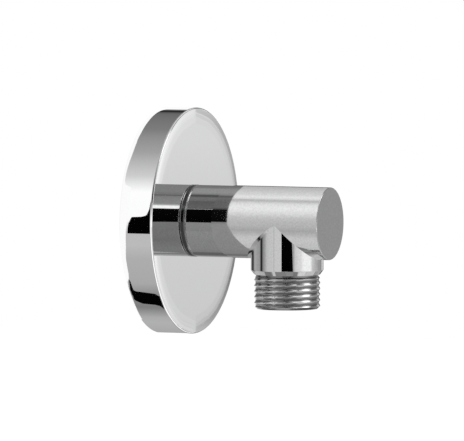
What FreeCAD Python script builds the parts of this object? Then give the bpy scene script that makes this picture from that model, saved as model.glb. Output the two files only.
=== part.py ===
import FreeCAD, Part

import os

import Sketcher
from FreeCAD import Vector

# Wall outlet elbow for a shower hose
#
# The origin is the centre of the wall plane, on which the rosette's back edge lies. +X runs out of
# the wall along the barrel, +Z is up, and the outlet points down. Lengths are in millimetres.

# Driving sizes: name, value, meaning
SIZES = [
    ("collar_wall", 0.85, "wall of the collar, which the barrel's shoulder covers"),
    ("barrel_end", 57.2, "wall plane to the closed front of the barrel"),
    ("front_break", 0.35, "broken edge of the barrel's front"),
    ("back_break", 0.25, "broken edge of the barrel's back shoulder"),
    ("branch_place", 42.5, "wall plane to the outlet's axis"),
    ("branch_drop", 16.3, "barrel's axis to the branch's lower edge"),
    ("branch_taper", 1.4, "height over which the branch draws in to the thread's diameter"),
    ("outlet_relief_depth", 0.6, "runout groove above the outlet thread, below the thread's crests"),
    ("outlet_relief_width", 0.6, "width of that groove's bottom"),
    ("outlet_drop", 27.2, "barrel's axis to the outlet's sealing face"),
    ("thread_diameter", 20.955, "G 1/2 thread, outside"),
    ("relief_depth", 1.23, "runout groove behind the inlet thread, below the thread's crests"),
    ("relief_width", 1.4, "width of that groove"),
    ("thread_lead", 0.9, "lead-in chamfer of each thread"),
    ("inlet_reach", 9.5, "inlet thread behind the wall plane"),
    ("inlet_thread_length", 12.0, "inlet thread with its lead-in"),
    ("bore_clearance", 0.1725, "between the inlet thread and the rosette's bore, all round"),
    ("neck_clearance", 0.2, "between the neck and the rosette's bore, all round"),
    ("inlet_bore", 14.0, "waterway from the back"),
    ("outlet_bore", 13.0, "waterway from below"),
    ("inlet_overrun", 7.5, "inlet bore past the outlet's axis"),
    ("mouth_break", 0.4, "broken edge of the waterways' mouths"),
    ("drill_point", 118.0, "angle of the drill's point in degrees"),
    ("rosette_diameter", 72.0, "rosette, outside"),
    ("rosette_depth", 11.2, "wall plane to the rosette's front face"),
    ("rosette_round", 0.5, "rounding of the rosette's front edge"),
    ("rosette_back_break", 0.4, "broken edge of the rosette's back rim"),
    ("face_wall", 2.2, "wall of the rosette's face"),
    ("rim_wall", 3.4, "wall of the rosette's rim"),
    ("hollow_slope", 1.4, "slope in the corners of the rosette's hollow"),
    ("collar_length", 1.2, "collar in front of the rosette's face"),
    ("collar_break", 0.5, "broken shoulder of the collar"),
    ("hub_wall", 2.05, "wall of the hub round the neck ring's groove"),
    ("hub_back", 4.6, "wall plane to the hub's back face"),
    ("hub_lead", 0.5, "lead-in chamfer of the hub's bore"),
    ("gland_place", 7.8, "wall plane to the middle of the neck ring"),
    ("ring_height", 1.46, "neck ring, from the neck outwards"),
    ("ring_width", 2.0, "neck ring, along the neck"),
    ("ring_side_gap", 0.25, "between the neck ring and each side of its groove"),
    ("ring_clearance", 0.02, "between a rubber ring and its groove"),
    ("wall_groove_width", 1.8, "groove for the wall ring in the rim's back edge"),
    ("wall_groove_depth", 1.6, "depth of that groove"),
]

# Radii that follow from the standard thread. The rosette slides on over the inlet thread, the collar
# stands round its bore, the barrel is flush with the collar and the branch is as wide as the barrel.
THREAD = "(sizes.thread_diameter / 2)"
BORE = f"({THREAD} + sizes.bore_clearance)"
BARREL = f"({BORE} + sizes.collar_wall)"
NECK = f"({BORE} - sizes.neck_clearance)"
RING_INSIDE = f"({NECK} + sizes.ring_clearance)"
RING_OUTSIDE = f"({RING_INSIDE} + sizes.ring_height)"
GLAND = f"({RING_OUTSIDE} + sizes.ring_clearance)"
HUB = f"({GLAND} + sizes.hub_wall)"
ROSETTE = "(sizes.rosette_diameter / 2)"
HOLLOW = f"({ROSETTE} - sizes.rim_wall)"

# Places along X that follow from the rosette's depth.
FACE = "sizes.rosette_depth"
SHOULDER = f"({FACE} + sizes.collar_length)"
HOLLOW_END = f"({FACE} - sizes.face_wall)"

TURN = 360.0
NEAR = 1e-4


def make_sheet(doc):
    # Each size has a row of its own: meaning, value, name.
    sheet = doc.addObject("Spreadsheet::Sheet", "sizes")
    for row, (name, value, meaning) in enumerate(SIZES, start=1):
        sheet.set(f"A{row}", meaning)
        sheet.set(f"B{row}", str(value))
        sheet.setAlias(f"B{row}", name)
    doc.recompute()


def make_body(doc, name):
    body = doc.addObject("PartDesign::Body", name)
    body.Label = name
    return body


def origin_plane(body, role):
    return next(item for item in body.Origin.OriginFeatures if item.Role == role)


def start_sketch(body, name, role="XZ_Plane"):
    sketch = body.newObject("Sketcher::SketchObject", name)
    sketch.AttachmentSupport = (origin_plane(body, role), "")
    sketch.MapMode = "FlatFace"
    return sketch


def place_point(sketch, geometry, end, across, up):
    # A point's two distances from the origin, each an expression of the sheet's sizes.
    for kind, text in (("DistanceX", across), ("DistanceY", up)):
        value = float(sketch.evalExpression(text))
        number = sketch.addConstraint(Sketcher.Constraint(kind, -1, 1, geometry, end, value))
        sketch.setExpression(f"Constraints[{number}]", text)


def outline(body, name, corners, axis_place=None):
    # A closed outline of straight edges in the plane of X and Z. Each corner is a pair of
    # expressions. With axis_place, an upright construction line there is the axis to turn about.
    sketch = start_sketch(body, name)
    spots = [[float(sketch.evalExpression(text)) for text in corner] for corner in corners]
    first = 0
    if axis_place is not None:
        place = float(sketch.evalExpression(axis_place))
        sketch.addGeometry(Part.LineSegment(Vector(place, 0, 0), Vector(place, 1, 0)), True)
        place_point(sketch, 0, 1, axis_place, "0")
        place_point(sketch, 0, 2, axis_place, "1")
        first = 1
    count = len(spots)
    for index, (across, up) in enumerate(spots):
        end_across, end_up = spots[(index + 1) % count]
        sketch.addGeometry(Part.LineSegment(Vector(across, up, 0), Vector(end_across, end_up, 0)), False)
    for index in range(count):
        follower = first + (index + 1) % count
        sketch.addConstraint(Sketcher.Constraint("Coincident", first + index, 2, follower, 1))
    for index, (across, up) in enumerate(corners):
        place_point(sketch, first + index, 1, across, up)
    return sketch


def turn(body, kind, name, sketch, axis="H_Axis"):
    # kind is Revolution, which adds, or Groove, which cuts.
    feature = body.newObject(f"PartDesign::{kind}", name)
    feature.Profile = sketch
    feature.ReferenceAxis = (sketch, [axis])
    feature.Angle = TURN
    sketch.Visibility = False
    return feature


def rings_at(feature, place, radius):
    # The names of the round edges about X that lie at the given place with the given radius.
    names = []
    for number, edge in enumerate(feature.Shape.Edges, start=1):
        if not isinstance(edge.Curve, Part.Circle):
            continue
        centre = edge.Curve.Center
        on_axis = abs(centre.y) < NEAR and abs(centre.z) < NEAR
        if on_axis and abs(centre.x - place) < NEAR and abs(edge.Curve.Radius - radius) < NEAR:
            names.append(f"Edge{number}")
    return names


def finish_rings(body, kind, name, size, rings):
    # kind is Fillet, which rounds, or Chamfer, which breaks an edge or fills an inside corner with
    # a slope. Each ring is a pair of expressions, its place along X and its radius.
    body.Document.recompute()
    base = body.Tip
    spots = [[float(base.evalExpression(text)) for text in ring] for ring in rings]
    edges = [edge for place, radius in spots for edge in rings_at(base, place, radius)]
    feature = body.newObject(f"PartDesign::{kind}", name)
    feature.Base = (base, edges)
    feature.setExpression("Radius" if kind == "Fillet" else "Size", f"sizes.{size}")
    return feature


def make_elbow_body(doc):
    # Spindle turned about X: inlet thread, runout, neck, shoulder and barrel with a closed front.
    body = make_body(doc, "elbow_body")
    relief = f"{THREAD} - sizes.relief_depth"
    inlet_start = "-sizes.inlet_reach"
    inlet_stop = "sizes.inlet_thread_length - sizes.inlet_reach"
    spindle = outline(body, "spindle_outline", [
        (inlet_start, "0"),
        (inlet_start, f"{THREAD} - sizes.thread_lead"),
        (f"{inlet_start} + sizes.thread_lead", THREAD),
        (inlet_stop, THREAD),
        (inlet_stop, relief),
        (f"{inlet_stop} + sizes.relief_width", relief),
        (f"{inlet_stop} + sizes.relief_width", NECK),
        (SHOULDER, NECK),
        (SHOULDER, BARREL),
        ("sizes.barrel_end", BARREL),
        ("sizes.barrel_end", "0"),
    ])
    turn(body, "Revolution", "spindle", spindle)

    # Branch turned about the outlet's axis: its lower edge draws in, and the outlet thread starts
    # below a runout groove, whose lower side slopes by 45 degrees.
    axis = "sizes.branch_place"
    drop = "-sizes.branch_drop"
    relief_end = f"{drop} - sizes.outlet_relief_width"
    outlet_face = "-sizes.outlet_drop"
    branch = outline(body, "branch_outline", [
        (axis, "0"),
        (f"{axis} + {BARREL}", "0"),
        (f"{axis} + {BARREL}", f"{drop} + sizes.branch_taper"),
        (f"{axis} + {THREAD}", drop),
        (f"{axis} + {THREAD} - sizes.outlet_relief_depth", drop),
        (f"{axis} + {THREAD} - sizes.outlet_relief_depth", relief_end),
        (f"{axis} + {THREAD}", f"{relief_end} - sizes.outlet_relief_depth"),
        (f"{axis} + {THREAD}", f"{outlet_face} + sizes.thread_lead"),
        (f"{axis} + {THREAD} - sizes.thread_lead", outlet_face),
        (axis, outlet_face),
    ], axis)
    turn(body, "Revolution", "branch", branch, "Axis0")

    # Waterways drilled from the back and from below. The inlet's drill goes past the outlet's axis,
    # and the outlet's drill breaks into it.
    inlet_radius = "sizes.inlet_bore / 2"
    inlet_end = f"{axis} + sizes.inlet_overrun"
    inlet_bore = outline(body, "inlet_bore_outline", [
        (inlet_start, "0"),
        (inlet_start, f"{inlet_radius} + sizes.mouth_break"),
        (f"{inlet_start} + sizes.mouth_break", inlet_radius),
        (inlet_end, inlet_radius),
        (f"{inlet_end} + {inlet_radius} / tan(sizes.drill_point * 0.5 deg)", "0"),
    ])
    turn(body, "Groove", "inlet_waterway", inlet_bore)
    outlet_radius = "sizes.outlet_bore / 2"
    outlet_bore = outline(body, "outlet_bore_outline", [
        (axis, outlet_face),
        (f"{axis} + {outlet_radius} + sizes.mouth_break", outlet_face),
        (f"{axis} + {outlet_radius}", f"{outlet_face} + sizes.mouth_break"),
        (f"{axis} + {outlet_radius}", "0"),
        (axis, "0"),
    ], axis)
    turn(body, "Groove", "outlet_waterway", outlet_bore, "Axis0")

    # Broken edges of the barrel: in front, and at the shoulder that clamps the collar.
    finish_rings(body, "Chamfer", "front_edge", "front_break", [("sizes.barrel_end", BARREL)])
    finish_rings(body, "Chamfer", "back_edge", "back_break", [(SHOULDER, BARREL)])
    return body


def make_rosette(doc):
    # Cup turned about X: rim, face, the collar in front and the hub behind with its bore.
    body = make_body(doc, "rosette")
    cup = outline(body, "cup_outline", [
        ("0", ROSETTE),
        (FACE, ROSETTE),
        (FACE, BARREL),
        (SHOULDER, BARREL),
        (SHOULDER, BORE),
        ("sizes.hub_back + sizes.hub_lead", BORE),
        ("sizes.hub_back", f"{BORE} + sizes.hub_lead"),
        ("sizes.hub_back", HUB),
        (HOLLOW_END, HUB),
        (HOLLOW_END, HOLLOW),
        ("0", HOLLOW),
    ])
    turn(body, "Revolution", "cup", cup)

    # Groove round the bore for the neck ring, and groove in the rim's back edge for the wall ring.
    half_gland = "(sizes.ring_width / 2 + sizes.ring_side_gap)"
    gland = outline(body, "gland_outline", [
        (f"sizes.gland_place - {half_gland}", NECK),
        (f"sizes.gland_place + {half_gland}", NECK),
        (f"sizes.gland_place + {half_gland}", GLAND),
        (f"sizes.gland_place - {half_gland}", GLAND),
    ])
    turn(body, "Groove", "gland", gland)
    middle = f"({ROSETTE} - sizes.rim_wall / 2)"
    wall_groove = outline(body, "wall_groove_outline", [
        ("0", f"{middle} - sizes.wall_groove_width / 2"),
        ("sizes.wall_groove_depth", f"{middle} - sizes.wall_groove_width / 2"),
        ("sizes.wall_groove_depth", f"{middle} + sizes.wall_groove_width / 2"),
        ("0", f"{middle} + sizes.wall_groove_width / 2"),
    ])
    turn(body, "Groove", "wall_groove", wall_groove)

    # The rounded front edge, the collar's broken shoulder, and the sloped corners of the hollow.
    finish_rings(body, "Fillet", "front_edge", "rosette_round", [(FACE, ROSETTE)])
    finish_rings(body, "Chamfer", "collar_edge", "collar_break", [(SHOULDER, BARREL)])
    hollow_rings = [(HOLLOW_END, HOLLOW), (HOLLOW_END, HUB)]
    finish_rings(body, "Chamfer", "hollow_corners", "hollow_slope", hollow_rings)
    finish_rings(body, "Chamfer", "back_edge", "rosette_back_break", [("0", ROSETTE)])
    return body


def make_neck_ring(doc):
    # Rubber ring between neck and groove. It is made about its own middle and placed in the hub.
    body = make_body(doc, "neck_ring")
    half = "sizes.ring_width / 2"
    ring = outline(body, "ring_outline", [
        (f"-{half}", RING_INSIDE),
        (half, RING_INSIDE),
        (half, RING_OUTSIDE),
        (f"-{half}", RING_OUTSIDE),
    ])
    turn(body, "Revolution", "ring", ring)
    body.setExpression("Placement.Base.x", "sizes.gland_place")
    return body


def make_wall_ring(doc):
    # Flat rubber ring that fills the groove in the rim's back edge, flush with the wall plane.
    body = make_body(doc, "wall_ring")
    middle = f"({ROSETTE} - sizes.rim_wall / 2)"
    half_width = "(sizes.wall_groove_width / 2 - sizes.ring_clearance)"
    sketch = start_sketch(body, "ring_outline", "YZ_Plane")
    for sign in ("-", "+"):
        text = f"{middle} {sign} {half_width}"
        radius = float(sketch.evalExpression(text))
        number = sketch.addGeometry(Part.Circle(Vector(0, 0, 0), Vector(0, 0, 1), radius), False)
        sketch.addConstraint(Sketcher.Constraint("Coincident", number, 3, -1, 1))
        limit = sketch.addConstraint(Sketcher.Constraint("Radius", number, radius))
        sketch.setExpression(f"Constraints[{limit}]", text)
    pad = body.newObject("PartDesign::Pad", "ring")
    pad.Profile = sketch
    pad.setExpression("Length", "sizes.wall_groove_depth - sizes.ring_clearance")
    return body


def check(doc, bodies):
    # Nothing is written unless every feature worked and every piece is one sound solid.
    for item in doc.Objects:
        if "Invalid" in item.State or "Error" in item.State:
            raise SystemExit(f"{item.Name} failed: {item.State}")
    for body in bodies:
        shape = body.Shape
        if shape.isNull() or not shape.isValid() or len(shape.Solids) != 1:
            raise SystemExit(f"{body.Label} isn't one sound solid")
        box = shape.optimalBoundingBox(False)
        print(
            f"{body.Label}: {shape.Volume:.1f} mm3,"
            f" x {box.XMin:.2f} to {box.XMax:.2f},"
            f" y {box.YMin:.2f} to {box.YMax:.2f},"
            f" z {box.ZMin:.2f} to {box.ZMax:.2f}"
        )


def main():
    doc = FreeCAD.newDocument("wall_outlet_elbow")
    make_sheet(doc)
    bodies = [
        make_elbow_body(doc),
        make_rosette(doc),
        make_neck_ring(doc),
        make_wall_ring(doc),
    ]
    doc.recompute()
    check(doc, bodies)
    os.makedirs("parts", exist_ok=True)
    for body in bodies:
        body.Shape.exportStep(f"parts/{body.Label}.step")
    return doc


main()
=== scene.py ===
import math

import bpy
import numpy as np
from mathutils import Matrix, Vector


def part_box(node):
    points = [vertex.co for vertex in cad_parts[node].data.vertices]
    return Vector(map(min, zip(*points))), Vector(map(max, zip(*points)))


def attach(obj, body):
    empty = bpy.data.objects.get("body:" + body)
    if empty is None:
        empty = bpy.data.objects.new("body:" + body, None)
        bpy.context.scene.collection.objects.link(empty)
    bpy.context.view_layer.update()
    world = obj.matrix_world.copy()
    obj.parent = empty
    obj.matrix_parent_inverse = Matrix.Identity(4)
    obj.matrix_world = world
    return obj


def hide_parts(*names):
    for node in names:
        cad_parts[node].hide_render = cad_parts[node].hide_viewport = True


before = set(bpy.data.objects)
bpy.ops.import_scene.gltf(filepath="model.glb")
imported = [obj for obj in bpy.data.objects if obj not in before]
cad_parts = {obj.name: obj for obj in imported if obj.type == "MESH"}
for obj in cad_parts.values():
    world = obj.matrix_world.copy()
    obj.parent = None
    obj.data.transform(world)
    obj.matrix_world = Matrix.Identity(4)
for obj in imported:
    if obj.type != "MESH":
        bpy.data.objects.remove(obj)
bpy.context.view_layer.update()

# Wall outlet elbow for a shower hose. The wall plane is x = 0, the barrel runs along +X and the outlet
# points down. All shapes are worked out in millimetres and become metres when a mesh is made.
mm = 0.001
turnSteps = 256          # segments round the rosette and the rings
arcPoints = 9            # points along each rounded corner
longestRun = 6.0         # straight runs are cut into pieces no longer than this
weldGrid = 1e4           # points that agree to a ten-thousandth of a millimetre are one vertex
scene = bpy.context.scene


def nodeBox(name):
    return [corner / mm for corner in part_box(name)]


elbowLow, elbowHigh = nodeBox("elbow_body")
rosetteLow, rosetteHigh = nodeBox("rosette")
neckRingLow, neckRingHigh = nodeBox("neck_ring")
wallRingLow, wallRingHigh = nodeBox("wall_ring")
print("frame loaded")


class Shell:
    # Patches, each a grid of points with its exact normals and a finish number, welded into one mesh.

    def __init__(self):
        self.patches = []

    def add(self, points, normals, finish=0):
        self.patches.append((points, normals, finish))

    def build(self, name, materials):
        points = np.concatenate([p.reshape(-1, 3) for p, n, f in self.patches])
        normals = np.concatenate([n.reshape(-1, 3) for p, n, f in self.patches])
        quads, finishes, start = [], [], 0
        for p, n, finish in self.patches:
            rows, columns = p.shape[:2]
            grid = start + np.arange(rows * columns).reshape(rows, columns)
            quad = np.stack([grid[:-1, :-1], grid[1:, :-1], grid[1:, 1:], grid[:-1, 1:]], -1).reshape(-1, 4)
            # a patch whose faces look away from its normals is turned over
            a, b, c, d = (points[quad[:, k]] for k in range(4))
            facing = np.einsum("ij,ij->i", np.cross(c - a, d - b), normals[quad].sum(1)).sum()
            quads.append(quad if facing > 0 else quad[:, ::-1])
            finishes.append(np.full(len(quad), finish))
            start += rows * columns
        quads, finishes = np.concatenate(quads), np.concatenate(finishes)

        places, first, vertex = np.unique(np.round(points * weldGrid).astype(np.int64), axis=0,
                                          return_index=True, return_inverse=True)
        corners = vertex.reshape(-1)[quads]
        keep = corners != np.roll(corners, 1, axis=1)      # a corner that repeats the one before it goes
        sides = keep.sum(1)
        real = sides > 2
        keep &= real[:, None]
        loopGrid, loopVertex = quads[keep], corners[keep]
        sides, finishes = sides[real], finishes[real]

        mesh = bpy.data.meshes.new(name)
        mesh.vertices.add(len(places))
        mesh.vertices.foreach_set("co", (points[first] * mm).astype(np.float32).ravel())
        mesh.loops.add(len(loopVertex))
        mesh.loops.foreach_set("vertex_index", loopVertex.astype(np.int32))
        mesh.polygons.add(len(sides))
        mesh.polygons.foreach_set("loop_start", (np.cumsum(sides) - sides).astype(np.int32))
        mesh.polygons.foreach_set("material_index", finishes.astype(np.int32))
        mesh.update(calc_edges=True)
        mesh.shade_smooth()
        mesh.normals_split_custom_set(normals[loopGrid])
        for material in materials:
            mesh.materials.append(material)
        piece = bpy.data.objects.new(name, mesh)
        scene.collection.objects.link(piece)
        edges = np.sort(np.stack([loopVertex, nextInFace(loopVertex, sides)], 1), axis=1)
        uses = np.unique(edges, axis=0, return_counts=True)[1]
        print(f"{name}: {len(places)} points, {len(sides)} faces, {(sides - 2).sum()} triangles,"
              f" {(uses != 2).sum()} open edges")
        return piece


def nextInFace(loopVertex, sides):
    ends = np.cumsum(sides) - 1
    following = np.arange(1, len(loopVertex) + 1)
    following[ends] = ends - sides + 1
    return loopVertex[following]


def aboutBarrel(along, radius, angle):
    # turned about the X axis, angle 0 is straight down: (along, r sin a, -r cos a)
    return np.stack(np.broadcast_arrays(along, radius * np.sin(angle), -radius * np.cos(angle)), -1)


def aboutOutlet(along, radius, angle):
    # turned about an upright line, angle 0 points away from the wall: (r cos a, r sin a, along)
    return np.stack(np.broadcast_arrays(radius * np.cos(angle), radius * np.sin(angle), along), -1)


def roundedOutline(corners, closed=False):
    # Straight runs with arcs between them. A corner is (along, radius, rounding). The arc of rounding q
    # starts q tan(turn / 2) before the corner, and its normal turns evenly from one run's to the next's.
    places = np.array([c[:2] for c in corners], float)
    rounding = [c[2] if len(c) > 2 else 0.0 for c in corners]
    count = len(corners)
    runs = count if closed else count - 1
    heading = [places[(k + 1) % count] - places[k] for k in range(runs)]
    heading = [h / np.hypot(*h) for h in heading]
    stretches, cut = [], {}
    for k in range(count):
        if rounding[k] and (closed or 0 < k < count - 1):
            before, after = heading[k - 1], heading[k % runs]
            turn = math.atan2(before[0] * after[1] - before[1] * after[0], before @ after)
            cut[k] = (rounding[k] * math.tan(abs(turn) / 2), turn)
    for k in range(runs):
        last = (k + 1) % count
        start = places[k] + heading[k] * cut.get(k, (0, 0))[0]
        end = places[last] - heading[k] * cut.get(last, (0, 0))[0]
        normal = np.array([-heading[k][1], heading[k][0]])
        steps = max(1, int(np.ceil(np.hypot(*(end - start)) / longestRun)))
        s = np.linspace(0, 1, steps + 1)[:, None]
        stretches.append((start + (end - start) * s, np.repeat(normal[None], steps + 1, 0)))
        if last in cut:
            turn = cut[last][1]
            side = -math.copysign(1.0, turn)       # an arc bulges along its normal or against it
            a = math.atan2(normal[1], normal[0]) + turn * np.linspace(0, 1, arcPoints)
            normals = np.stack([np.cos(a), np.sin(a)], 1)
            middle = end - side * rounding[last] * normal
            stretches.append((middle + side * rounding[last] * normals, normals))
    return stretches


def spin(shell, stretches, place, angles, finish=0, centre=(0.0, 0.0, 0.0)):
    # each stretch of the outline carried round the axis
    for spots, normals in stretches:
        along, radius = spots[:, 0:1], spots[:, 1:2]
        shell.add(place(along, radius, angles[None]) + np.array(centre),
                  place(normals[:, 0:1], normals[:, 1:2], angles[None]), finish)


thread = dict(
    radius=10.4775,          # G 1/2, over the crests
    pitch=1.814,
    depth=0.46,              # worn by plating and polishing, so less than the cutting depth
    sharpness=0.93,          # 1 is a plain triangle
    ridge=1.35,              # over 1 narrows the crests and widens the valleys
    lead=0.9,
    fade=0.35,               # how fast the thread deepens behind its runout
    rows=18,                 # rows of faces in one pitch
    valleyDepth=0.6,         # this far under the crests the painted shade in the valleys is fullest
    valleyTop=-16.0,         # below this height the valleys are the outlet thread's
)


def threadRadius(t, along, angle):
    # Rounded wave w = 1/2 + asin(k cos 2 pi u) / (2 asin k), u = along / pitch - angle / 2 pi + phase.
    # The radius is crest - depth (1 - w^ridge), eased in behind the runout, and never outside the
    # 45 degree cones of the runout and of the lead-in.
    u = along / t["pitch"] - angle / (2 * np.pi) + t["phase"]
    k = t["sharpness"]
    wave = 0.5 + np.arcsin(k * np.cos(2 * np.pi * u)) / (2 * np.arcsin(k))
    behind = np.abs(along - t["start"])
    ease = np.clip(behind / t["fade"], 0, 1)
    radius = t["radius"] - t["depth"] * ease * ease * (3 - 2 * ease) * (1 - wave ** t["ridge"])
    leadCone = t["radius"] - t["lead"] + np.abs(along - t["end"])
    return np.minimum(np.minimum(radius, leadCone), t["startRadius"] + behind)


def threadPatch(shell, t, place, angles, finish, centre=(0.0, 0.0, 0.0)):
    # The helix as a height over a cylinder. Its normal is (1, -dr/dangle / r, -dr/dalong) in the
    # directions outwards, round and along.
    rows = int(abs(t["end"] - t["start"]) / t["pitch"] * t["rows"])
    along = np.linspace(t["start"], t["end"], rows + 1)[:, None]
    angle = np.broadcast_to(angles[None], (rows + 1, len(angles)))
    radius = threadRadius(t, along, angle)
    step = 1e-4
    low, high = sorted((t["start"], t["end"]))
    before, after = np.maximum(along - step, low), np.minimum(along + step, high)
    slope = (threadRadius(t, after, angle) - threadRadius(t, before, angle)) / (after - before)
    swing = (threadRadius(t, along, angle + step) - threadRadius(t, along, angle - step)) / (2 * step)
    normals = (place(0.0, 1.0, angle) - place(0.0, 1.0, angle + np.pi / 2) * (swing / radius)[..., None]
               - place(1.0, 0.0, angle) * slope[..., None])
    normals /= np.linalg.norm(normals, axis=-1, keepdims=True)
    shell.add(place(along, radius, angle) + np.array(centre), normals, finish)


def teeTube(shell, tube, branch, sideways, inwards, finish=0):
    # A tube of radius p about X with a hole where a branch of radius q about the upright line x = c
    # leaves it downwards. The hole's edge is (c + q cos a, q sin a, -sqrt(p^2 - q^2 sin^2 a)). Between
    # it and a rectangle round it the unrolled tube is filled by straight rays from one to the other.
    p, q, c = tube["radius"], branch["radius"], branch["place"]
    left, right = c - q - tube["margin"], c + q + tube["margin"]
    across = np.linspace(-np.pi, np.pi, sideways + 1)          # round the tube
    lengthways = np.linspace(left, right, sideways // 3 + 1)
    # the rectangle, from its corner at the front and top, back along the top, down the side nearest
    # the wall, forward again and up
    x = np.concatenate([lengthways[::-1], np.full(sideways, left), lengthways[1:], np.full(sideways, right)])
    turn = np.concatenate([np.full(len(lengthways), np.pi), across[::-1][1:],
                           np.full(len(lengthways) - 1, -np.pi), across[1:]])
    a = np.unwrap(np.arctan2(turn * q / math.asin(q / p), x - c))
    edgeX, edgeTurn = c + q * np.cos(a), np.arcsin(np.clip(q * np.sin(a) / p, -1, 1))
    t = np.linspace(0, 1, tube["rows"])[:, None] ** tube["crowding"]      # closer rows near the hole
    gridX, gridTurn = edgeX + (x - edgeX) * t, edgeTurn + (turn - edgeTurn) * t
    sign = -1.0 if inwards else 1.0
    shell.add(aboutBarrel(gridX, p, gridTurn), sign * aboutBarrel(0.0, 1.0, gridTurn), finish)
    return a, across, left, right


elbow = dict(
    aroundSteps=96,          # segments round barrel, branch and waterways
    barrelRadius=elbowHigh.z,
    barrelEnd=elbowHigh.x,
    frontRound=0.2,
    backRound=0.12,
    shoulder=rosetteHigh.x,
    neckRadius=10.45,
    reliefRadius=9.2475,     # runout behind the inlet thread
    reliefStart=2.5,
    reliefEnd=3.9,
    inletFace=elbowLow.x,
    branchPlace=42.5,
    branchStraight=-14.5,
    taperStart=-14.9,        # where the branch draws in to the thread
    taperEnd=-16.3,
    taperRound=0.2,
    crestRound=0.08,         # where the taper ends at the thread's crest
    grooveEnd=-16.9,         # runout above the outlet thread
    grooveDepth=0.6,
    outletPhase=0.516,       # turns the outlet thread so that its start faces the wall
    outletFace=elbowLow.z,
    inletBore=7.0,
    outletBore=6.5,
    boreEnd=50.0,
    drillAngle=59.0,         # half of the drill point's angle, degrees
    mouthBreak=0.4,
    downSteps=8,             # segments down the branch and its waterway
    endSteps=3,              # segments across the outlet's end face
    saddle=dict(margin=1.4, rows=26, crowding=1.25),
    innerSaddle=dict(margin=0.8, rows=14, crowding=1.25),
)


def makeElbow(materials):
    # finish 0 is the polished outside, 1 the threads and what lies behind the rosette, 2 the waterways
    e, shell = elbow, Shell()
    barrel, place, crest = e["barrelRadius"], e["branchPlace"], thread["radius"]
    base = (place, 0.0, 0.0)

    # barrel with the branch's saddle: the branch is as wide, so the saddle's two arcs cross at z = 0
    angles, across, left, right = teeTube(
        shell, dict(e["saddle"], radius=barrel), dict(radius=barrel, place=place), e["aroundSteps"], False)
    spin(shell, roundedOutline([
        (e["shoulder"], e["neckRadius"]), (e["shoulder"], barrel, e["backRound"]), (left, barrel)]),
         aboutBarrel, across)
    spin(shell, roundedOutline([
        (right, barrel), (e["barrelEnd"], barrel, e["frontRound"]), (e["barrelEnd"], 0.0)]),
         aboutBarrel, across)

    # branch from the saddle down to its thread
    edge = -np.sqrt(np.clip(barrel ** 2 - (barrel * np.sin(angles)) ** 2, 0, None))
    t = np.linspace(0, 1, e["downSteps"] + 1)[:, None]
    drop = edge + (e["branchStraight"] - edge) * t
    shell.add(aboutOutlet(drop, barrel, angles[None]) + np.array(base),
              aboutOutlet(0.0 * drop, 1.0, angles[None]))
    root = crest - e["grooveDepth"]
    spin(shell, roundedOutline([
        (e["taperEnd"], crest, e["crestRound"]), (e["taperStart"], barrel, e["taperRound"]),
        (e["branchStraight"], barrel)]), aboutOutlet, angles, 0, base)
    spin(shell, roundedOutline([
        (e["grooveEnd"], root), (e["taperEnd"], root), (e["taperEnd"], crest)]),
         aboutOutlet, angles, 1, base)
    outlet = dict(thread, start=e["grooveEnd"], startRadius=root, end=e["outletFace"],
                  phase=e["outletPhase"])
    threadPatch(shell, outlet, aboutOutlet, angles, 1, base)

    # neck, runout and inlet thread behind the shoulder
    spin(shell, roundedOutline([
        (e["reliefStart"], crest), (e["reliefStart"], e["reliefRadius"]),
        (e["reliefEnd"], e["reliefRadius"]), (e["reliefEnd"], e["neckRadius"]),
        (e["shoulder"], e["neckRadius"])]), aboutBarrel, across, 1)
    inlet = dict(thread, start=e["reliefStart"], startRadius=crest, end=e["inletFace"], phase=0.0)
    threadPatch(shell, inlet, aboutBarrel, across, 1)
    spin(shell, roundedOutline([
        (e["inletFace"] + e["mouthBreak"], e["inletBore"]),
        (e["inletFace"], e["inletBore"] + e["mouthBreak"]), (e["inletFace"], crest - thread["lead"])]),
         aboutBarrel, across, 1)

    # waterways: the same kind of saddle inside
    holeAngles, across, left, right = teeTube(
        shell, dict(e["innerSaddle"], radius=e["inletBore"]),
        dict(radius=e["outletBore"], place=place), e["aroundSteps"], True, 2)
    point = e["boreEnd"] + e["inletBore"] / math.tan(math.radians(e["drillAngle"]))
    for corners in ([(e["inletFace"] + e["mouthBreak"], e["inletBore"]), (left, e["inletBore"])],
                    [(right, e["inletBore"]), (e["boreEnd"], e["inletBore"]), (point, 0.0)]):
        inward = [(spots, -normals) for spots, normals in roundedOutline(corners)]
        spin(shell, inward, aboutBarrel, across, 2)
    edge = -np.sqrt(e["inletBore"] ** 2 - (e["outletBore"] * np.sin(holeAngles)) ** 2)
    drop = edge + (e["outletFace"] + e["mouthBreak"] - edge) * t
    shell.add(aboutOutlet(drop, e["outletBore"], holeAngles[None]) + np.array(base),
              -aboutOutlet(0.0 * drop, 1.0, holeAngles[None]), 2)
    mouth = e["outletBore"] + e["mouthBreak"]
    spin(shell, roundedOutline([
        (e["outletFace"] + e["mouthBreak"], e["outletBore"]), (e["outletFace"], mouth)]),
         aboutOutlet, holeAngles, 1, base)
    # the end face, from the bore's angles to the thread's
    t = np.linspace(0, 1, e["endSteps"] + 1)[:, None]
    reach = mouth + (crest - thread["lead"] - mouth) * t
    shell.add(aboutOutlet(e["outletFace"], reach, holeAngles + (angles - holeAngles) * t) + np.array(base),
              aboutOutlet(-1.0, 0.0 * reach, angles[None]), 1)
    return shell.build("elbow_dressed", materials)


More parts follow.
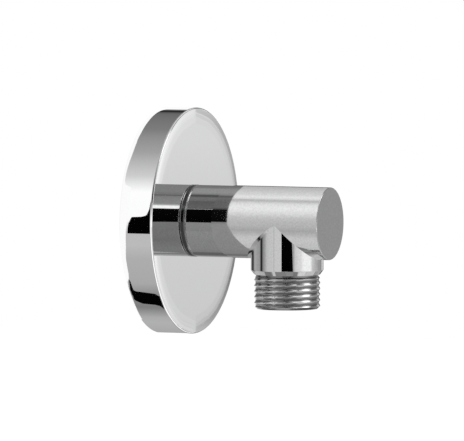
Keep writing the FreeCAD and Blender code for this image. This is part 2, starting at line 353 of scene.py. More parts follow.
rosette = dict(
    radius=rosetteHigh.z,
    face=rosetteHigh.x - 1.2,
    edgeStart=0.6,           # the rim's arc begins this far behind the face
    edgeTurn=70.0,           # degrees; the rest of the way is a crease where the face starts
    edgeFill=0.98,           # the arc's share of its corner, which leaves a hair of straight run
    backBreak=0.4,
    collarRadius=elbow["barrelRadius"],
    collarEnd=rosetteHigh.x,
    collarRound=0.8,         # the collar in front is one small bead
    bore=10.65,
    gland=11.95,
    glandFrom=6.55,
    glandTo=9.05,
    hubRadius=14.0,
    hubBack=4.6,
    hubLead=0.5,
    hollowEnd=rosetteHigh.x - 3.4,
    hollowRadius=32.6,
    hollowSlope=1.4,
    grooveInside=33.4,
    grooveOutside=35.2,
    grooveDepth=1.6,
)


def makeRosette(materials):
    # finish 0 is the polished front, 1 the hidden back and 2 the satin collar
    s, shell = rosette, Shell()
    rim, collar, bore, slope = s["radius"], s["collarRadius"], s["bore"], s["hollowSlope"]
    angles = np.linspace(0, 2 * np.pi, turnSteps + 1)
    turn = math.radians(s["edgeTurn"])
    arc = s["edgeStart"] / math.sin(turn)      # the rim's arc turns by edgeTurn and ends at the face
    front = [(0.0, rim - s["backBreak"]), (s["backBreak"], rim),
             (s["face"] - s["edgeStart"] + arc * math.tan(turn / 2), rim, arc * s["edgeFill"]),
             (s["face"], rim - arc + arc * math.cos(turn)), (s["face"], collar)]
    bead = [(s["face"], collar), (s["collarEnd"], collar, s["collarRound"]), (s["collarEnd"], bore)]
    back = [(s["collarEnd"], bore), (s["glandTo"], bore), (s["glandTo"], s["gland"]),
            (s["glandFrom"], s["gland"]), (s["glandFrom"], bore),
            (s["hubBack"] + s["hubLead"], bore), (s["hubBack"], bore + s["hubLead"]),
            (s["hubBack"], s["hubRadius"]), (s["hollowEnd"] - slope, s["hubRadius"]),
            (s["hollowEnd"], s["hubRadius"] + slope), (s["hollowEnd"], s["hollowRadius"] - slope),
            (s["hollowEnd"] - slope, s["hollowRadius"]), (0.0, s["hollowRadius"]),
            (0.0, s["grooveInside"]), (s["grooveDepth"], s["grooveInside"]),
            (s["grooveDepth"], s["grooveOutside"]), (0.0, s["grooveOutside"]), (0.0, rim - s["backBreak"])]
    spin(shell, roundedOutline(front), aboutBarrel, angles, 0)
    spin(shell, roundedOutline(bead), aboutBarrel, angles, 2)
    spin(shell, roundedOutline(back), aboutBarrel, angles, 1)
    return shell.build("rosette_dressed", materials)


rings = dict(
    neck=dict(low=neckRingLow, high=neckRingHigh, inside=10.47, rounding=0.35),
    wall=dict(low=wallRingLow, high=wallRingHigh, inside=33.42, rounding=0.2),
)


def makeRing(name, ring, materials):
    # a rubber ring of rectangular section with rounded corners, as high and wide as its CAD node
    low, high, inside, rounding = ring["low"], ring["high"], ring["inside"], ring["rounding"]
    shell = Shell()
    outline = roundedOutline([(low.x, high.z, rounding), (high.x, high.z, rounding),
                              (high.x, inside, rounding), (low.x, inside, rounding)], closed=True)
    spin(shell, outline, aboutBarrel, np.linspace(0, 2 * np.pi, turnSteps + 1))
    return shell.build(name, materials)


def addNode(nodes, kind, operation=None, **values):
    # a shader node with the named inputs set
    node = nodes.new("ShaderNode" + kind)
    if operation:
        node.operation = operation
    for key, value in values.items():
        node.inputs[key].default_value = value
    return node


def calculate(nodes, links, operation, *terms):
    # a Math node: each term is a number or another node's output
    node = addNode(nodes, "Math", operation)
    for index, term in enumerate(terms):
        if isinstance(term, (int, float)):
            node.inputs[index].default_value = term
        else:
            links.new(term, node.inputs[index])
    return node.outputs[0]


def newGroup(name, ins, outs):
    # a node group with named sockets: (name, kind, default)
    group = bpy.data.node_groups.new(name, "ShaderNodeTree")
    for label, kind, default in ins:
        socket = group.interface.new_socket(name=label, in_out="INPUT", socket_type="NodeSocket" + kind)
        if default is not None:
            socket.default_value = default
    for label, kind in outs:
        group.interface.new_socket(name=label, in_out="OUTPUT", socket_type="NodeSocket" + kind)
    return group, group.nodes.new("NodeGroupInput"), group.nodes.new("NodeGroupOutput")


# the noises that every metal's finish is mixed from
noises = dict(
    grainDetail=2.0,
    grainRoughness=0.6,
    hazeDetail=3.0,
    hazeRoughness=0.55,
    speckFrom=0.35,          # the grain noise is stretched between these two
    speckTo=0.65,
)


def makeMetalFinish(s):
    # Colour = clean colour times 1 - grain - haze. The grain is fine noise, stretched so that it shows as
    # specks, and the haze is soft noise.
    # Roughness = polish + haze amount * soft noise^2. Height = the grain, for a very low bump.
    group, given, result = newGroup("metalFinish", [
        ("Clean Colour", "Color", (0.9, 0.9, 0.9, 1.0)), ("Polish", "Float", 0.03),
        ("Grain Size", "Float", 0.0004), ("Grain Amount", "Float", 0.03),
        ("Haze Size", "Float", 0.02), ("Haze Amount", "Float", 0.02)],
        [("Colour", "Color"), ("Roughness", "Float"), ("Height", "Float")])
    nodes, links = group.nodes, group.links
    place = nodes.new("ShaderNodeTexCoord").outputs["Object"]
    grain = addNode(nodes, "TexNoise", Detail=s["grainDetail"], Roughness=s["grainRoughness"])
    haze = addNode(nodes, "TexNoise", Detail=s["hazeDetail"], Roughness=s["hazeRoughness"])
    for noise, size in ((grain, "Grain Size"), (haze, "Haze Size")):
        links.new(place, noise.inputs["Vector"])
        links.new(calculate(nodes, links, "DIVIDE", 1.0, given.outputs[size]), noise.inputs["Scale"])
    grainValue, hazeValue = grain.outputs["Fac"], haze.outputs["Fac"]
    sharp = addNode(nodes, "MapRange", **{"From Min": s["speckFrom"], "From Max": s["speckTo"]})
    links.new(grainValue, sharp.inputs["Value"])
    speck = calculate(nodes, links, "MULTIPLY", sharp.outputs[0], given.outputs["Grain Amount"])
    cloud = calculate(nodes, links, "MULTIPLY", hazeValue, given.outputs["Haze Amount"])
    light = calculate(nodes, links, "SUBTRACT", 1.0, calculate(nodes, links, "ADD", speck, cloud))
    shade = addNode(nodes, "VectorMath", "SCALE")
    links.new(given.outputs["Clean Colour"], shade.inputs[0])
    links.new(light, shade.inputs["Scale"])
    links.new(shade.outputs[0], result.inputs["Colour"])
    rough = calculate(nodes, links, "MULTIPLY_ADD", hazeValue, cloud, given.outputs["Polish"])
    links.new(rough, result.inputs["Roughness"])
    links.new(grainValue, result.inputs["Height"])
    return group


def makeThreadValley():
    # Valley = how far a point lies under the crests, 0 to 1: (crest - distance from the axis) / depth.
    # The axis is the outlet's upright line below Outlet Top, and the X axis elsewhere.
    group, given, result = newGroup("threadValley", [
        ("Outlet Place", "Float", elbow["branchPlace"] * mm),
        ("Outlet Top", "Float", thread["valleyTop"] * mm),
        ("Crest", "Float", thread["radius"] * mm),
        ("Depth", "Float", thread["valleyDepth"] * mm)], [("Valley", "Float")])
    nodes, links = group.nodes, group.links
    split = nodes.new("ShaderNodeSeparateXYZ")
    links.new(nodes.new("ShaderNodeTexCoord").outputs["Object"], split.inputs[0])
    across = calculate(nodes, links, "SUBTRACT", split.outputs["X"], given.outputs["Outlet Place"])
    below = calculate(nodes, links, "LESS_THAN", split.outputs["Z"], given.outputs["Outlet Top"])
    pick = nodes.new("ShaderNodeMix")
    links.new(below, pick.inputs["Factor"])
    links.new(split.outputs["Z"], pick.inputs["A"])
    links.new(across, pick.inputs["B"])
    squares = [calculate(nodes, links, "MULTIPLY", side, side)
               for side in (pick.outputs["Result"], split.outputs["Y"])]
    distance = calculate(nodes, links, "SQRT", calculate(nodes, links, "ADD", *squares))
    under = calculate(nodes, links, "SUBTRACT", given.outputs["Crest"], distance)
    valley = addNode(nodes, "Clamp")
    links.new(calculate(nodes, links, "DIVIDE", under, given.outputs["Depth"]), valley.inputs["Value"])
    links.new(valley.outputs[0], result.inputs["Valley"])
    return group


metalFinish = makeMetalFinish(noises)
threadValley = makeThreadValley()

# what a user would change about the surfaces, lengths in metres
grainDepth = 0.00002     # of the metals' bump
surfaces = dict(
    chromeBody=dict(colour=(0.96, 0.962, 0.965), polish=0.015, grainSize=0.0006, grain=0.12,
        hazeSize=0.018, haze=0.01, bump=0.0),
    chromeRosette=dict(colour=(0.915, 0.917, 0.92), polish=0.02, grainSize=0.0005, grain=0.02,
        hazeSize=0.03, haze=0.012, bump=0.0),
    # the collar's second colour is painted shade, darkening it towards the disc
    chromeCollar=dict(colour=(0.74, 0.74, 0.745), polish=0.17, grainSize=0.0003, grain=0.05,
        hazeSize=0.004, haze=0.04, bump=0.05, paintedShadeColour=(0.18, 0.18, 0.185), paintedShadeFrom=0.0116,
        paintedShadeTo=0.0123),
    chromeBack=dict(colour=(0.74, 0.74, 0.75), polish=0.24, grainSize=0.0006, grain=0.12,
        hazeSize=0.008, haze=0.10, bump=0.12),
    # the thread's valley colour is painted shade in the valleys
    chromeThread=dict(colour=(0.92, 0.92, 0.925), polish=0.06, grainSize=0.0003, grain=0.16,
        hazeSize=0.003, haze=0.16, bump=0.05, valleyShadeColour=(0.29, 0.29, 0.295), valleyRoughness=0.20,
        valleyFrom=0.12, valleyTo=0.6),
    brassBore=dict(colour=(0.62, 0.53, 0.34), polish=0.28, grainSize=0.0005, grain=0.15, hazeSize=0.005,
        haze=0.14, bump=0.15),
)


def newMaterial(name):
    material = bpy.data.materials.new(name)
    material.use_nodes = True
    return material, material.node_tree.nodes, material.node_tree.links


def metal(name):
    s = surfaces[name]
    material, nodes, links = newMaterial(name)
    shader = nodes["Principled BSDF"]
    shader.inputs["Metallic"].default_value = 1.0
    finish = nodes.new("ShaderNodeGroup")
    finish.node_tree = metalFinish
    for label, value in (("Clean Colour", (*s["colour"], 1.0)), ("Polish", s["polish"]),
                         ("Grain Size", s["grainSize"]), ("Grain Amount", s["grain"]),
                         ("Haze Size", s["hazeSize"]), ("Haze Amount", s["haze"])):
        finish.inputs[label].default_value = value
    colour, roughness = finish.outputs["Colour"], finish.outputs["Roughness"]
    if "valleyShadeColour" in s:
        # thread: painted shade in the valleys, which are darker and duller than the crests
        valley = nodes.new("ShaderNodeGroup")
        valley.node_tree = threadValley
        soft = addNode(nodes, "MapRange", **{"From Min": s["valleyFrom"], "From Max": s["valleyTo"]})
        soft.interpolation_type = "SMOOTHSTEP"
        links.new(valley.outputs["Valley"], soft.inputs["Value"])
        tint = nodes.new("ShaderNodeMix")
        tint.data_type = "RGBA"
        tint.inputs["B"].default_value = (*s["valleyShadeColour"], 1.0)
        links.new(soft.outputs[0], tint.inputs["Factor"])
        links.new(colour, tint.inputs["A"])
        dull = nodes.new("ShaderNodeMix")
        dull.inputs["B"].default_value = s["valleyRoughness"]
        links.new(soft.outputs[0], dull.inputs["Factor"])
        links.new(roughness, dull.inputs["A"])
        colour, roughness = tint.outputs["Result"], dull.outputs["Result"]
    if "paintedShadeColour" in s:
        # collar: painted shade, darker towards the disc where it meets the face, by a smooth step of X
        split = nodes.new("ShaderNodeSeparateXYZ")
        links.new(nodes.new("ShaderNodeTexCoord").outputs["Object"], split.inputs[0])
        step = addNode(nodes, "MapRange", **{"From Min": s["paintedShadeFrom"], "From Max": s["paintedShadeTo"]})
        step.interpolation_type = "SMOOTHSTEP"
        links.new(split.outputs["X"], step.inputs["Value"])
        tint = nodes.new("ShaderNodeMix")
        tint.data_type = "RGBA"
        tint.inputs["A"].default_value = (*s["paintedShadeColour"], 1.0)
        links.new(step.outputs[0], tint.inputs["Factor"])
        links.new(colour, tint.inputs["B"])
        colour = tint.outputs["Result"]
    links.new(colour, shader.inputs["Base Color"])
    links.new(roughness, shader.inputs["Roughness"])
    if s["bump"]:
        bump = addNode(nodes, "Bump", Strength=s["bump"], Distance=grainDepth)
        links.new(finish.outputs["Height"], bump.inputs["Height"])
        links.new(bump.outputs[0], shader.inputs["Normal"])
    return material


# the rubber of both rings, lengths in metres
seal = dict(
    colour=(0.018, 0.018, 0.02),
    worn=(0.045, 0.045, 0.047),
    smoothest=0.5,
    roughest=0.75,
    dustScale=220.0,
    grainSize=0.0008,
    bump=0.2,
    bumpDepth=0.00005,
)


def rubber(s):
    # colour and roughness between fresh and dusty by soft noise, fine moulded grain as bump
    material, nodes, links = newMaterial("sealRubber")
    shader = nodes["Principled BSDF"]
    place = nodes.new("ShaderNodeTexCoord").outputs["Object"]
    dust = addNode(nodes, "TexNoise", Scale=s["dustScale"], Detail=3.0)
    grain = addNode(nodes, "TexNoise", Scale=1.0 / s["grainSize"], Detail=2.0)
    for noise in (dust, grain):
        links.new(place, noise.inputs["Vector"])
    tint = nodes.new("ShaderNodeMix")
    tint.data_type = "RGBA"
    tint.inputs["A"].default_value, tint.inputs["B"].default_value = (*s["colour"], 1.0), (*s["worn"], 1.0)
    links.new(dust.outputs["Fac"], tint.inputs["Factor"])
    links.new(tint.outputs["Result"], shader.inputs["Base Color"])
    span = s["roughest"] - s["smoothest"]
    rough = calculate(nodes, links, "MULTIPLY_ADD", dust.outputs["Fac"], span, s["smoothest"])
    links.new(rough, shader.inputs["Roughness"])
    bump = addNode(nodes, "Bump", Strength=s["bump"], Distance=s["bumpDepth"])
    links.new(grain.outputs["Fac"], bump.inputs["Height"])
    links.new(bump.outputs[0], shader.inputs["Normal"])
    return material


sealRubber = rubber(seal)
dressed = [
    (makeElbow([metal("chromeBody"), metal("chromeThread"), metal("brassBore")]),
     "elbow_body", "body_chrome"),
    (makeRosette([metal("chromeRosette"), metal("chromeBack"), metal("chromeCollar")]),
     "rosette", "rosette_chrome"),
    (makeRing("neck_ring_dressed", rings["neck"], [sealRubber]), "neck_ring", "seal_rubber"),
    (makeRing("wall_ring_dressed", rings["wall"], [sealRubber]), "wall_ring", "seal_rubber"),
]
for piece, node, slot in dressed:
    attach(piece, "root")
    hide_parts(node)
print("pieces made")

camera = dict(azimuth=22.5, elevation=3.3, distance=2.5, fieldWidth=0.1473, aim=(0.0236, 0.0, 0.0003))


def makeCamera(c):
    data = bpy.data.cameras.new("camera")
    data.sensor_width = 36.0
    data.lens = data.sensor_width * c["distance"] / c["fieldWidth"]
    data.clip_start, data.clip_end = 0.05, 30.0
    a, e = math.radians(c["azimuth"]), math.radians(c["elevation"])
    back = Vector((math.sin(a) * math.cos(e), -math.cos(a) * math.cos(e), math.sin(e)))
    thing = bpy.data.objects.new("camera", data)
    thing.location = Vector(c["aim"]) + back * c["distance"]
    thing.rotation_mode = "QUATERNION"
    thing.rotation_quaternion = (-back).to_track_quat("-Z", "Y")
    scene.collection.objects.link(thing)
    scene.camera = thing


# Cards round the object that only polished metal shows, in millimetres. A card of kind "barrel" lies
# round the X axis, at angles from the side towards the camera (0) over the top (90). "outlet" stands
# round the outlet, at azimuths from -Y (0) towards +X (90), "flat" stands upright at y = radius, and
# "fin" is a slice across X at x = radius. tones gives the grey, 0 to 1 as displayed, over angles,
# azimuths or heights. along gives the card's other extent, the same everywhere or cut to a shape by
# (angle, from, to). A card with facing is clear from its back: its face looks in to its axis, out from
# it, or towards the wall.
tent = dict(
    # the rim: its shaded side, its white back edge and two dark bands
    rimSide=dict(kind="barrel", radius=60, along=(-22.0, 0.75), tones=[(-130, .66), (-93, .72),
        (-84, .70), (-70, .51), (-55, .58), (-45, .69), (-25, .71), (-15, .765), (-6, .76), (3, 1.03),
        (23, 1.04), (35, .84), (55, .66), (71, .58), (80, .51), (92, .48), (107, .43), (111, .37),
        (113.5, .18), (116, .13), (118, .25), (119.5, .30), (122.5, .80), (125, 1.03), (128, 1.03)]),
    rimGlow=dict(kind="barrel", radius=59.7, along=[(-88, -22, -13.6), (-70, -22, -11.9),
        (-60, -22, -11.2), (-50, -22, -10.8), (-44, -22, -10.35), (-41, -22, -9.5), (-37, -22, -9.1),
        (-25, -22, -8.8), (-16, -22, -8.2), (-4, -22, -7.8), (1, -22, -7.5), (4, -22, -6.8),
        (26, -22, -7.0), (28, -22, -9.1), (31, -22, -9.7), (38, -22, -9.9), (52, -22, -10.0),
        (56, -22, -10.1), (60, -22, -10.3), (64, -22, -10.5), (68, -22, -10.8), (72, -22, -11.0),
        (76, -22, -11.2), (80, -22, -11.5), (84, -22, -11.8), (88, -22, -12.1), (93.5, -22, -12.5),
        (101, -22, -13.15), (111, -22, -13.95), (118, -22, -14.2), (122, -22, -13.9),
        (130, -22, -13.5)], tones=[(-88, 1.03), (130, 1.03)]),
    rimBand=dict(kind="barrel", radius=59.5, along=[(-6.6, -7.2, .75), (-2.2, -7.1, .75),
        (.8, -6.8, .75), (2.2, -6.4, .75), (3.8, -6.1, .75), (5, -5.7, .75), (5.4, -2.4, .75),
        (6, -1.2, .75), (6.8, -.6, .75), (8.2, -.3, .75), (9.8, 0, .75), (11.2, .2, .75),
        (16, .45, .75), (20, .7, .75)], tones=[(-6.6, .01), (20, .01)]),
    rimBandLow=dict(kind="barrel", radius=59.5, along=[(-71, -2.4, .75), (-68, -3.0, .75),
        (-66.6, -4.4, .75), (-65.6, -8.6, .75), (-63.8, -9.7, .75), (-62.2, -10.5, .75),
        (-60.8, -10.8, .75), (-57.5, -10.5, .75), (-56.4, -10.6, -1.6), (-54.6, -10.6, -2.3),
        (-53.6, -10.5, -5.2), (-52.6, -10.5, -8.6), (-51.5, -10.5, -9.3), (-48.8, -10.2, -9.3),
        (-44, -9.7, -9.2), (-42, -9.5, -9.4)], tones=[(-71, .01), (-42, .01)]),
    # the rim's fine arc, and what comes back from it over the face
    edgeGlow=dict(kind="fin", radius=11.3, facing="wall", along=(35.85, 38.5), tones=[(-89, 1.05),
        (2, 1.08), (8, .85), (13, .06), (17, .06), (23, .45), (31, .66), (45, .80), (89, .95)]),
    edgeInner=dict(kind="barrel", radius=34.9, facing="out", along=[(-75, 12.1, 15), (-60, 11.67, 15),
        (-45, 11.55, 15), (0, 11.46, 15), (45, 11.55, 15), (60, 11.67, 15), (75, 12.1, 15)],
        tones=[(-75, 1.0), (75, .98)]),
    # round the barrel, from behind the wall to beyond the front
    discSpread=dict(kind="barrel", radius=249, along=[(-180, -82, -60), (-110, -82, -64),
        (-91, -82, -66.4), (-68, -82, -68.1), (-36, -82, -70.1), (-5, -82, -71.7), (28, -82, -71.8),
        (129, -82, -72.2), (180, -82, -74)], tones=[(-180, .60), (-158, .70), (-148, .57), (-138, .55),
        (-132, .42), (-124, .44), (-120, .51), (-112, .52), (-90, .54), (-8, .56), (0.5, .50),
        (1.5, .03), (39, .05), (42, .30), (48, .40), (68, .39), (80, .44), (86, .37), (90, .38),
        (94, .52), (104, .58), (122, .57), (140, .47), (150, .45), (180, .42)]),
    wallSide=dict(kind="barrel", radius=250, along=(-82.0, -38.5), tones=[(-170, .50), (-110, .53),
        (-92, .60), (-84, .77), (-69, .78), (-61, .79), (-52, .80), (-43, .78), (-36, .74), (-22, .67),
        (-8, .73), (4, .745), (18, .79), (30, .88), (42, .93), (50, .94), (62, .90), (69, .83),
        (72, .765), (78, .75), (81, .87), (90, .93), (100, .87), (112, .83), (130, .78), (146, .74),
        (158, .74), (168, .60), (180, .50)]),
    branchSide=dict(kind="barrel", radius=250, along=(-38.5, 62.0), tones=[(-170, .60), (-105, .66),
        (-95, .92), (-87, .92), (-79, .52), (-68, .50), (-45, .60), (-12, .80), (5, .80), (30, .72),
        (60, .60), (168, .60)]),
    underLeft=dict(kind="barrel", radius=250, along=(-200.0, -82.0), tones=[(-125, .46), (-55, .46)]),
    farWall=dict(kind="barrel", radius=600, along=(-1000.0, -252.0), tones=[(-30, .78), (30, .80)]),
    lowFront=dict(kind="barrel", radius=250, along=(62.0, 113.0), tones=[(-180, .50), (-150, .66),
        (-143, .53), (-138, .50), (-135, .40), (-117, .40), (-113, .51), (-98, .54), (-60, .555),
        (-21, .58)]),
    highFront=dict(kind="barrel", radius=250, along=(62.0, 113.0), tones=[(40, .30), (44, .41),
        (66, .38), (69, .44), (79, .47), (83, .43), (86, .33), (91, .32), (95, .50), (100, .58),
        (104, .60), (124, .60), (134, .50), (150, .47), (180, .42)]),
    frontLow=dict(kind="barrel", radius=250, along=(146.0, 330.0), tones=[(-70, .56), (-9, .62)]),
    lowSide=dict(kind="barrel", radius=250, along=(113.0, 145.0), tones=[(-152, .70), (-145, .68),
        (-136, .53), (-118, .49), (-98, .50), (-62, .46), (-21, .49)]),
    highSide=dict(kind="barrel", radius=250, along=(113.0, 145.0), tones=[(39, .75), (41, 1.04),
        (48, 1.04), (51, .75), (56, .57), (78, .54), (85, .50), (88, .36), (91, .48), (106, .53),
        (150, .52), (180, .45)]),
    # close round the branch, with the apron between it and the disc
    branchHood=dict(kind="outlet", radius=12.5, facing="in", along=[(-150, -17.2, -7.5),
        (-120, -17.2, -9.5), (-90.6, -17.2, -10.6), (-75, -17.2, -9.8), (-61, -17.2, -8.9),
        (-45, -17.2, -7.2), (-30, -17.2, -5.0), (-15, -17.2, -2.5), (-2, -17.2, -0.35)],
        tones=[(-150, .62), (-68, .62), (-63.5, .17), (-56, .17), (-50.5, .64), (-45, .67), (-38, .62),
        (-32, .61), (-29.4, .33), (-28, .13), (-26, .11), (-24.4, .45), (-21.8, .59), (-19.5, .62),
        (-17.2, .70), (-15, .76), (-10, .785), (-2, .79)]),
    apronInner=dict(kind="fin", radius=24, facing="wall", along=(12.0, 41.0), tones=[(-27, .475),
        (-1.5, .49)]),
    apronOuter=dict(kind="fin", radius=24, facing="wall", along=(41.0, 110.0), tones=[(-27, .545),
        (-1.5, .56)]),
    # far in front and beside: the collar's bead, the branch and the outlet thread
    collarGlow=dict(kind="outlet", radius=410, along=(230.0, 560.0), tones=[(92, 1.2), (104, 1.5),
        (118, 1.5), (130, 1.0)]),
    cameraShade=dict(kind="barrel", radius=700, along=[(-8, 47, 660), (-6, 47, 640), (-5, 47, 590),
        (-4, 47, 535), (-3.6, 47, 520), (-3.5, 78, 660), (40, 78, 660)], tones=[(-8, .01), (40, .03)]),
    besideShade=dict(kind="barrel", radius=715, along=(480.0, 720.0), tones=[(-9, .64), (-3.3, .64)]),
    frontSide=dict(kind="outlet", radius=400, along=(-110.0, 20.0), tones=[(42, .62), (44, .72),
        (47, .81), (58, .865), (67, .88), (72, .95), (80, .98), (100, .97), (103, .94)]),
    aboveFront=dict(kind="outlet", radius=430, along=(22.0, 520.0), tones=[(44, .54), (60, .58),
        (80, .70), (91, .80)]),
    backSide=dict(kind="outlet", radius=400, along=(-110.0, 20.0), tones=[(103, .94), (107, .83),
        (112, .78), (121, .72), (132, .68), (138, .62), (150, .61)]),
    underShade=dict(kind="outlet", radius=150, along=(-255.0, -45.0), tones=[(55, .60), (80, .66),
        (95, .78), (150, .77)]),
    underFloor=dict(kind="outlet", radius=105, along=(-264.0, -168.0), tones=[(50, .52), (72, .56),
        (80, .62), (95, .84), (122, .84)]),
    backShade=dict(kind="outlet", radius=420, along=(-600.0, 600.0), tones=[(98, .50), (165, .50)]),
    # upright behind the object, for the cap and the disc's face
    behindDisc=dict(kind="flat", radius=150, along=(52.0, 97.0), tones=[(-70, .80), (-42, .825),
        (-20, .84), (4, .855), (18, .875), (50, .88)]),
    behindFront=dict(kind="flat", radius=150, along=(108.0, 136.0), tones=[(-40, .58), (20, .585)]),
    behindEdge=dict(kind="flat", radius=150, along=(-45.0, 50.0), tones=[(-70, .35), (60, .35)]),
)


# how the disc's face mirrors the cards at its left and right edge, see faceStrip
faceMirror = dict(
    distance=149.0,          # the cards stand at this y
    place=73.8,
    turn=0.447,
    stretch=1.065,
    lean=0.066,
    sink=9.3,
    reach=35.4,              # the strips run from z = -reach to reach
    steps=61,
)


def faceStrip(side, inner, outer, tones):
    # What the disc's face mirrors between two radii, to the left (-1) or right (1) as the camera sees it:
    # a face point (y, z) shows the card point x = place - turn y at height stretch z + lean y - sink.
    m = faceMirror
    z = np.linspace(-m["reach"], m["reach"], m["steps"])
    y = [side * np.sqrt(np.clip(r * r - z * z, 0, None)) for r in (inner, outer)]
    edges = [m["place"] - m["turn"] * spot for spot in y]
    height = m["stretch"] * z + m["lean"] * (y[0] + y[1]) / 2 - m["sink"]
    cuts = np.stack([height, np.minimum(*edges), np.maximum(*edges)], 1)
    return dict(kind="flat", radius=m["distance"], along=cuts.tolist(), tones=tones)


# towards its edge the face looks lighter on the left and darker on the right
tent.update(
    leftOuter=faceStrip(-1, 34.3, 35.6, [(-48, .85), (-40, .92), (-28, .99), (-8.5, 1.05), (11, 1.02),
        (22, .97), (31, .90)]),
    leftMiddle=faceStrip(-1, 33.1, 34.3, [(-48, .83), (-40, .87), (-28, .91), (-8.5, .965), (11, .95),
        (22, .935), (31, .885)]),
    leftInner=faceStrip(-1, 31.0, 33.1, [(-48, .83), (-40, .85), (-28, .875), (-8.5, .912), (11, .91),
        (22, .90), (31, .88)]),
    rightOuter=faceStrip(1, 33.6, 35.6, [(-48, .78), (-42, .64), (-28, .50), (-8.5, .55), (11, .67),
        (22, .70), (31, .82)]),
    rightMiddle=faceStrip(1, 32.2, 33.6, [(-48, .80), (-42, .76), (-28, .73), (-8.5, .76), (11, .80),
        (22, .82), (31, .85)]),
    rightInner=faceStrip(1, 30.2, 32.2, [(-48, .81), (-28, .80), (11, .855), (31, .87)]),
)


def cardMaterial(name, card):
    # grey by the angle atan2(z, -y), by the azimuth atan2(x - outlet, -y) or by height
    material, nodes, links = newMaterial(name)
    nodes.clear()
    split = nodes.new("ShaderNodeSeparateXYZ")
    links.new(nodes.new("ShaderNodeTexCoord").outputs["Object"], split.inputs[0])
    value, unit = split.outputs["Z"], 1.0 / mm
    if card["kind"] != "flat":
        toCamera = calculate(nodes, links, "MULTIPLY", split.outputs["Y"], -1.0)
        if card["kind"] == "outlet":
            value = calculate(nodes, links, "SUBTRACT", split.outputs["X"], elbow["branchPlace"] * mm)
        value, unit = calculate(nodes, links, "ARCTAN2", value, toCamera), 180.0 / math.pi
    first, last = card["tones"][0][0], card["tones"][-1][0]
    span = addNode(nodes, "MapRange", **{"From Min": first / unit, "From Max": last / unit})
    links.new(value, span.inputs["Value"])
    ramp = nodes.new("ShaderNodeValToRGB")
    stops = ramp.color_ramp.elements
    while len(stops) < len(card["tones"]):
        stops.new(0.5)
    for stop, (angle, tone) in zip(stops, card["tones"]):
        # from the displayed grey to light
        light = ((tone + 0.055) / 1.055) ** 2.4 if tone > 0.04 else tone / 12.92
        stop.position = (angle - first) / (last - first)
        stop.color = (light, light, light, 1.0)
    links.new(span.outputs[0], ramp.inputs[0])
    glow = nodes.new("ShaderNodeEmission")
    links.new(ramp.outputs["Color"], glow.inputs["Color"])
    out = nodes.new("ShaderNodeOutputMaterial")
    surface = glow.outputs[0]
    if "facing" in card:
        mix = nodes.new("ShaderNodeMixShader")
        links.new(nodes.new("ShaderNodeNewGeometry").outputs["Backfacing"], mix.inputs[0])
        links.new(surface, mix.inputs[1])
        links.new(nodes.new("ShaderNodeBsdfTransparent").outputs[0], mix.inputs[2])
        surface = mix.outputs[0]
    links.new(surface, out.inputs["Surface"])
    return material


cardGrid = dict(step=2.0, columns=3)      # degrees or millimetres, and points along a card


def makeCard(name, card):
    # a grid over the tones' angles or heights and over the extent along
    first, last = card["tones"][0][0], card["tones"][-1][0]
    steps = max(1, int((last - first) / cardGrid["step"]))
    across = np.linspace(first, last, steps + 1)
    if isinstance(card["along"], list):
        across = np.union1d(across, [cut[0] for cut in card["along"]])
        cuts = np.array(card["along"], float)
        low, high = (np.interp(across, cuts[:, 0], cuts[:, k])[:, None] for k in (1, 2))
    else:
        low, high = card["along"]
    across = across[:, None]
    along = low + (high - low) * np.linspace(0, 1, cardGrid["columns"])[None]
    radius, turn = float(card["radius"]), np.radians(across)
    grid = {
        "barrel": lambda: (along, -radius * np.cos(turn), radius * np.sin(turn)),
        "outlet": lambda: (elbow["branchPlace"] + radius * np.sin(turn), -radius * np.cos(turn), along),
        "flat": lambda: (along, radius, across),
        "fin": lambda: (radius, -along * np.cos(turn), along * np.sin(turn)),
    }[card["kind"]]()
    points = (np.stack(np.broadcast_arrays(*grid), -1) * mm).reshape(-1, 3)
    index = np.arange(len(points)).reshape(-1, cardGrid["columns"])
    quads = np.stack([index[:-1, :-1], index[1:, :-1], index[1:, 1:], index[:-1, 1:]], -1).reshape(-1, 4)
    if "facing" in card:
        a, b, c = (points[quads[0, k]] for k in range(3))
        axis = (elbow["branchPlace"] * mm, 0.0, a[2]) if card["kind"] == "outlet" else (a[0], 0.0, 0.0)
        outwards = a - np.array(axis)
        wanted = {"in": -outwards, "out": outwards, "wall": np.array([-1, 0, 0])}[card["facing"]]
        if np.cross(b - a, c - a) @ wanted < 0:
            quads = quads[:, ::-1]
    mesh = bpy.data.meshes.new(name)
    mesh.from_pydata(points.tolist(), [], quads.tolist())
    mesh.materials.append(cardMaterial(name, card))
    thing = bpy.data.objects.new(name, mesh)
    scene.collection.objects.link(thing)
    thing.visible_camera = thing.visible_diffuse = thing.visible_shadow = thing.visible_transmission = False


studio = dict(
    floorHeight=-0.27,       # metres
    floorSize=6.0,
    floorColour=(0.8, 0.8, 0.8),
    floorGlow=0.62,          # what camera and mirrors see on top of the lit floor, to reach white
    dayLight=0.5,            # the world's light on the object and the floor
    lampPower=7.0,
    lampSize=0.9,
    lampPlace=(-0.35, -0.9, 1.1),
)


def seenDirectly(nodes, links):
    # 1 for camera, glossy and transmission rays, else 0
    path = nodes.new("ShaderNodeLightPath")
    seen = calculate(nodes, links, "MAXIMUM", path.outputs["Is Camera Ray"], path.outputs["Is Glossy Ray"])
    return calculate(nodes, links, "MAXIMUM", seen, path.outputs["Is Transmission Ray"])


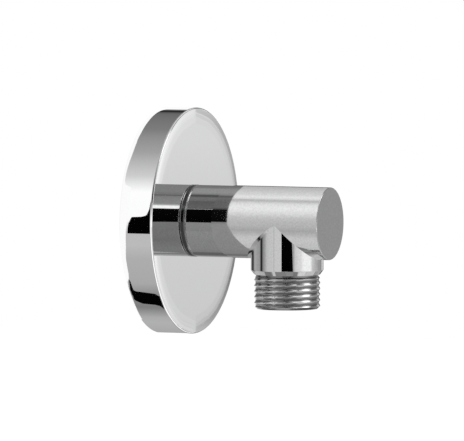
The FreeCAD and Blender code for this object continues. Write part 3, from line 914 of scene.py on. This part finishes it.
def makeStudio(s):
    # The floor is a pale diffuse surface that keeps the shadow, with a glow, and clear from below. The
    # world is white to camera and mirrors and dimmer as a light.
    size, height = s["floorSize"] / 2, s["floorHeight"]
    mesh = bpy.data.meshes.new("floor")
    corners = [(-size, -size, height), (size, -size, height), (size, size, height), (-size, size, height)]
    mesh.from_pydata(corners, [], [(0, 1, 2, 3)])
    material, nodes, links = newMaterial("floor")
    nodes.clear()
    pale = nodes.new("ShaderNodeBsdfDiffuse")
    pale.inputs["Color"].default_value = (*s["floorColour"], 1.0)
    glow = nodes.new("ShaderNodeEmission")
    strength = calculate(nodes, links, "MULTIPLY", seenDirectly(nodes, links), s["floorGlow"])
    links.new(strength, glow.inputs["Strength"])
    both, mix = nodes.new("ShaderNodeAddShader"), nodes.new("ShaderNodeMixShader")
    links.new(pale.outputs[0], both.inputs[0])
    links.new(glow.outputs[0], both.inputs[1])
    links.new(nodes.new("ShaderNodeNewGeometry").outputs["Backfacing"], mix.inputs[0])
    links.new(both.outputs[0], mix.inputs[1])
    links.new(nodes.new("ShaderNodeBsdfTransparent").outputs[0], mix.inputs[2])
    links.new(mix.outputs[0], nodes.new("ShaderNodeOutputMaterial").inputs["Surface"])
    mesh.materials.append(material)
    floor = bpy.data.objects.new("floor", mesh)
    scene.collection.objects.link(floor)

    world = bpy.data.worlds.new("studio")
    scene.world = world
    world.use_nodes = True
    nodes, links = world.node_tree.nodes, world.node_tree.links
    level = addNode(nodes, "MapRange", **{"To Min": s["dayLight"], "To Max": 1.0})
    links.new(seenDirectly(nodes, links), level.inputs["Value"])
    background = nodes["Background"]
    background.inputs["Color"].default_value = (1, 1, 1, 1)
    links.new(level.outputs[0], background.inputs["Strength"])

    data = bpy.data.lights.new("softLamp", "AREA")
    data.energy, data.size = s["lampPower"], s["lampSize"]
    lamp = bpy.data.objects.new("softLamp", data)
    lamp.location = Vector(s["lampPlace"])
    lamp.rotation_mode = "QUATERNION"
    lamp.rotation_quaternion = (Vector(camera["aim"]) - lamp.location).to_track_quat("-Z", "Y")
    lamp.visible_glossy = False
    scene.collection.objects.link(lamp)


makeCamera(camera)
for name, card in tent.items():
    makeCard(name, card)
makeStudio(studio)
scene.view_settings.view_transform = "Standard"
print("studio made")
